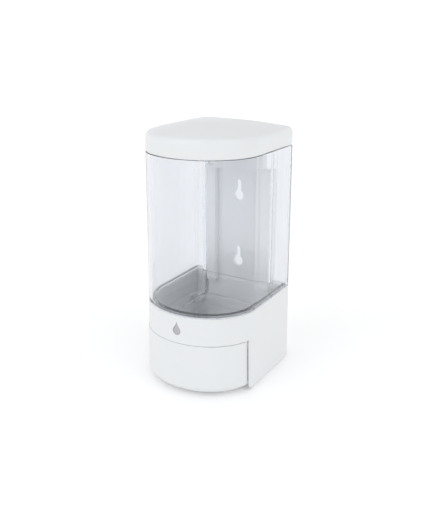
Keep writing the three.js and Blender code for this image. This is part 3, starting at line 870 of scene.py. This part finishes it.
def rubber_finish():
    finish = Finish("seal_rubber", IOR=1.45)
    cloud = finish.noise(3, 3)
    finish.colour((0.045, 0.048, 0.05), (0.075, 0.078, 0.08), cloud)
    finish.roughness(0.62 + cloud * 0.2)
    finish.relief(finish.noise(0.4, 3), 0.02)
    return finish.material


def steel_finish():
    """Bright drawn steel with fine lines."""
    finish = Finish("bright_steel", Metallic=1.0)
    lines = finish.noise(0.5, 2, 0.5, (0.15, 1, 1))
    finish.colour((0.50, 0.51, 0.53), (0.66, 0.67, 0.69), lines)
    finish.roughness(0.24 + lines * 0.16)
    finish.relief(lines, 0.01)
    return finish.material


def mark_finish():
    """The drop's satin grey, with a fine metallic grain."""
    finish = Finish("grey_mark", IOR=1.5, Metallic=0.35)
    grain = finish.noise(0.35, 2)
    finish.colour((0.40, 0.405, 0.42), (0.51, 0.515, 0.53), grain)
    finish.roughness(0.32 + grain * 0.12)
    finish.relief(grain, 0.01)
    return finish.material


FINISHES = {
    "white_shell": shell_finish("white_shell", (0.735, 0.752, 0.76), (0.76, 0.776, 0.784), 0.30),
    # Painted light: the plate's white is lighter than the shell's to make up for the shade it gets
    # inside the tank's channel
    "white_plate": shell_finish("white_plate", (0.895, 0.905, 0.91), (0.92, 0.93, 0.935), 0.38),
    "clear_tank": clear_finish(),
    "natural_plastic": natural_finish(),
    "seal_rubber": rubber_finish(),
    "steel": steel_finish(),
    "grey_mark": mark_finish(),
}


def fit(piece, body, slot, node):
    """Finishes a piece, and hangs it on its body in place of the node that it stands for."""
    piece.data.materials.clear()
    piece.data.materials.append(FINISHES[slot])
    piece.name = node + "_part"
    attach(piece, body)
    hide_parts(node)
    return piece


# ---------------------------------------------------------------- assembly
fit(make_plate(), "root", "white_plate", "wall_plate")
fit(make_tank(), "root", "clear_tank", "tank")
fit(make_base(), "root", "white_shell", "base_shell")
fit(make_cover(), "root", "white_shell", "bottom_cover")
fit(make_lid(), "lid", "white_shell", "lid")
fit(make_panel(), "push_panel", "white_shell", "push_panel")

mark = drop_prism("drop_inlay", 0, drop_low.y, drop_high.y)
soften(mark, 0.18, lambda a, b: max(a.y, b.y) < drop_low.y + 0.01)
fit(polish(mark, 40), "root", "grey_mark", "drop_inlay")

pin = bar("hinge_pin", 1.25, (0, HINGE_Y, HINGE_Z), pin_high.x - pin_low.x, "X", rounding=0.25)
fit(polish(pin), "root", "steel", "hinge_pin")

fit(make_fork(), "push_panel", "natural_plastic", "lift_fork")
fit(make_nut(), "root", "natural_plastic", "pump_nut")
fit(make_cylinder(), "root", "natural_plastic", "pump_cylinder")
fit(make_yoke(), "plunger", "natural_plastic", "lift_yoke")
for name, (body, slot) in {
    "cylinder_cap": ("root", "natural_plastic"), "pump_gasket": ("root", "seal_rubber"),
    "inlet_flap": ("root", "seal_rubber"), "plunger": ("plunger", "natural_plastic"),
    "piston_seal": ("plunger", "seal_rubber"), "nozzle_tip": ("plunger", "seal_rubber"),
}.items():
    fit(polish(turned(name, ROUND_PIECES[name])), body, slot, name)

spring = fit(make_spring(), "root", "steel", "return_spring")
mm(0, PUMP_Y, spring_high.z)
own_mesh(spring)

short_screw = make_screw("short_screw", 1.6, 9)
long_screw = make_screw("long_screw", 1.4, 11)
for node in [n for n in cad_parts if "screw" in n]:
    low, high = box(node)
    middle = (low + high) / 2
    if node.startswith("cover"):
        spot, turn, pattern = (middle.x, middle.y, low.z), 0, long_screw
    elif node.startswith("plate"):
        spot, turn, pattern = (middle.x, high.y, middle.z), math.pi / 2, long_screw
    else:
        spot, turn, pattern = (middle.x, high.y, middle.z), math.pi / 2, short_screw
    body = "push_panel" if node.startswith("fork") else "root"
    fit(copy(pattern, node, spot, turn), body, "steel", node)
bpy.data.objects.remove(short_screw)
bpy.data.objects.remove(long_screw)


# ---------------------------------------------------------------- studio
FLOOR_DROP = 0.2                # the floor lies this far under the base
# Radius and rise of the floor's rings, in metres.
BACKDROP = [(1.6, 0), (2.0, 0.04), (2.3, 0.16), (2.5, 0.4), (2.6, 0.8)]


def make_studio():
    """A pale floor that rises far away into its own backdrop all round."""
    bpy.ops.mesh.primitive_circle_add(vertices=96, radius=BACKDROP[0][0],
                                      location=mm(0, 0, -FLOOR_DROP))
    floor = settle(named("floor"))
    edit(floor)
    choose_all()
    for (radius, rise), (wider, higher) in zip(BACKDROP, BACKDROP[1:]):
        grow(z=higher - rise)
        widen(wider / radius, wider / radius)
    choose(floor, "VERT", lambda co: near(co.z, -FLOOR_DROP))
    bpy.ops.mesh.edge_face_add()
    leave()
    outward(floor)
    activate(floor)
    bpy.ops.object.shade_smooth()
    paper = Finish("studio_paper", Roughness=0.9, Emission_Strength=0.1)
    paper.shader.inputs["Emission Color"].default_value = (1, 1, 1, 1)
    paper.colour((0.96, 0.96, 0.96), (0.98, 0.98, 0.98), paper.noise(60, 2))
    floor.data.materials.append(paper.material)


def seen_from(azimuth, elevation):
    """The direction to a place that many degrees round and above the object's front."""
    turn, rise = math.radians(azimuth), math.radians(elevation)
    return Vector((math.sin(turn) * math.cos(rise), -math.cos(turn) * math.cos(rise),
                   math.sin(rise)))


def wide_lamp(name, azimuth, elevation, power, spread):
    """A broad even lamp far away, placed by degrees round and above the object's front."""
    light = bpy.data.lights.new(name, "SUN")
    light.energy = power
    light.angle = math.radians(spread)
    lamp = bpy.data.objects.new(name, light)
    bpy.context.scene.collection.objects.link(lamp)
    lamp.rotation_euler = seen_from(azimuth, elevation).to_track_quat("Z", "Y").to_euler()


make_studio()
wide_lamp("key_lamp", -25, 27, 0.66, 50)
wide_lamp("side_lamp", 72, 28, 0.50, 60)

scene = bpy.context.scene
scene.world = bpy.data.worlds.new("studio")
scene.world.use_nodes = True
ambient = scene.world.node_tree.nodes["Background"]
ambient.inputs["Color"].default_value = (0.985, 0.99, 1.0, 1)
ambient.inputs["Strength"].default_value = 0.805
scene.view_settings.view_transform = "Standard"

# ---------------------------------------------------------------- camera
AZIMUTH = 30.43                 # degrees towards the object's right side
ELEVATION = 19.14
DISTANCE = 552.6 * MM
FRAMING = Vector((5.9, 4.7, -4.8)) * MM     # where the camera aims, from the middle of the box
SENSOR = 36                     # height of the sensor; the lens is in the same millimetres
LENS = 45.33

camera_data = bpy.data.cameras.new("camera")
camera_data.sensor_fit = "VERTICAL"
camera_data.sensor_height = SENSOR
camera_data.lens = LENS
camera_data.clip_end = 50
camera = bpy.data.objects.new("camera", camera_data)
scene.collection.objects.link(camera)
towards = seen_from(AZIMUTH, ELEVATION)
middle = (Vector(cad_box[0]) + Vector(cad_box[1])) / 2
camera.location = middle + FRAMING + towards * DISTANCE
camera.rotation_euler = towards.to_track_quat("Z", "Y").to_euler()
scene.camera = camera
